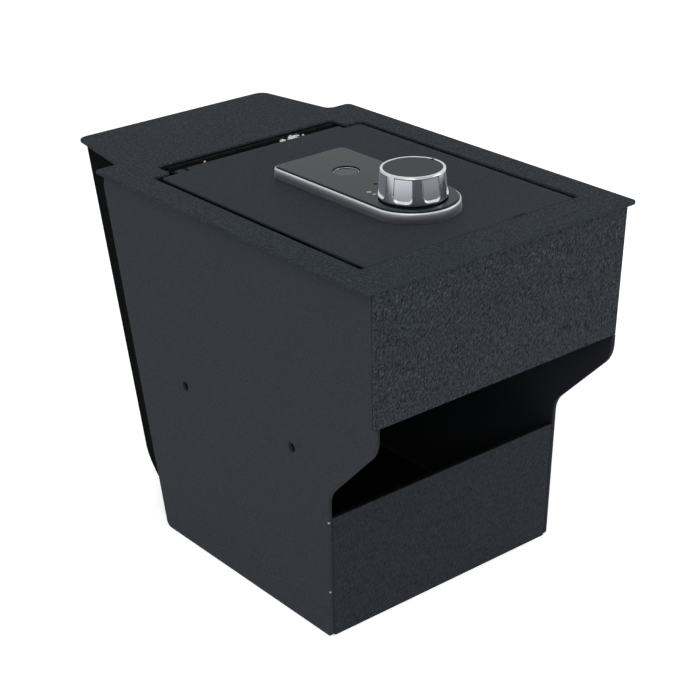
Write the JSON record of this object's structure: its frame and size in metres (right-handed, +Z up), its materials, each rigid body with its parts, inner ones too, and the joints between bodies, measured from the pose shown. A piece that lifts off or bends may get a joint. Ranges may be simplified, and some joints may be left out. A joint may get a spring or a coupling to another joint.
{
  "type": "console safe",
  "caption": "Deep sheet-steel safe for a vehicle's centre console, with a hinged lid, a fingerprint lock with a turning knob, and a rear extension.",
  "frame": {"origin": "bottom centre of the whole safe, on the surface that it stands on", "axes": "+Z up, -Y towards the textured front wall and the front edge of the lid, +Y towards the rear extension, +X to the right of someone facing the front"},
  "size_m": [0.216, 0.3486, 0.2839],
  "materials": {
    "powder_coat": "fine-textured black powder coat",
    "lid_coat": "smooth satin black powder coat",
    "dark_steel": "blackened, worn bright in spots",
    "bright_steel": "zinc plated",
    "chrome": "polished",
    "grey_disc": "satin",
    "black_glass": "glossy black, opaque",
    "black_plastic": "fine matte",
    "board": "lacquered",
    "cell_jacket": "printed film, plain",
    "mat": "felt"
  },
  "bodies": {
    "shell": {"top_plate": "powder_coat", "left_side_panel": "powder_coat", "right_side_panel": "powder_coat", "front_upper_panel": "powder_coat", "front_lower_panel": "powder_coat", "back_panel": "powder_coat", "bottom_panel": "powder_coat", "extension_left_wall": "powder_coat", "extension_right_wall": "powder_coat", "extension_back_panel": "powder_coat", "floor_mat": "mat", "strike_bar": "powder_coat", "hinge_fixed_leaf": "dark_steel", "hinge_pin": "bright_steel"},
    "lid": {"lid_panel": "lid_coat", "hinge_moving_leaf": "dark_steel", "lock_bezel": "chrome", "circuit_board": "board", "glass_face": "black_glass", "sensor_ring": "chrome", "sensor_pad": "black_plastic", "knob_collar": "black_plastic", "battery_housing": "black_plastic", "battery_cover": "black_plastic", "battery_1": "cell_jacket", "battery_2": "cell_jacket", "battery_3": "cell_jacket", "module_screw_1": "bright_steel", "module_screw_2": "bright_steel", "cover_screw": "bright_steel"},
    "knob_and_cam": {"knob": "chrome", "knob_cap": "grey_disc", "spindle": "bright_steel", "cam_lever": "bright_steel", "cam_nut": "bright_steel"}
  },
  "joints": [
    {"name": "lid_hinge", "type": "hinge", "parent": "shell", "child": "lid", "pos_m": [0, 0.07825, 0.25505], "axis": [-1, 0, 0], "range_deg": [0, 95]},
    {"name": "knob_turn", "type": "hinge", "parent": "lid", "child": "knob_and_cam", "pos_m": [0, -0.08835, 0.258], "axis": [0, 0, -1], "range_deg": [0, 90]}
  ]
}
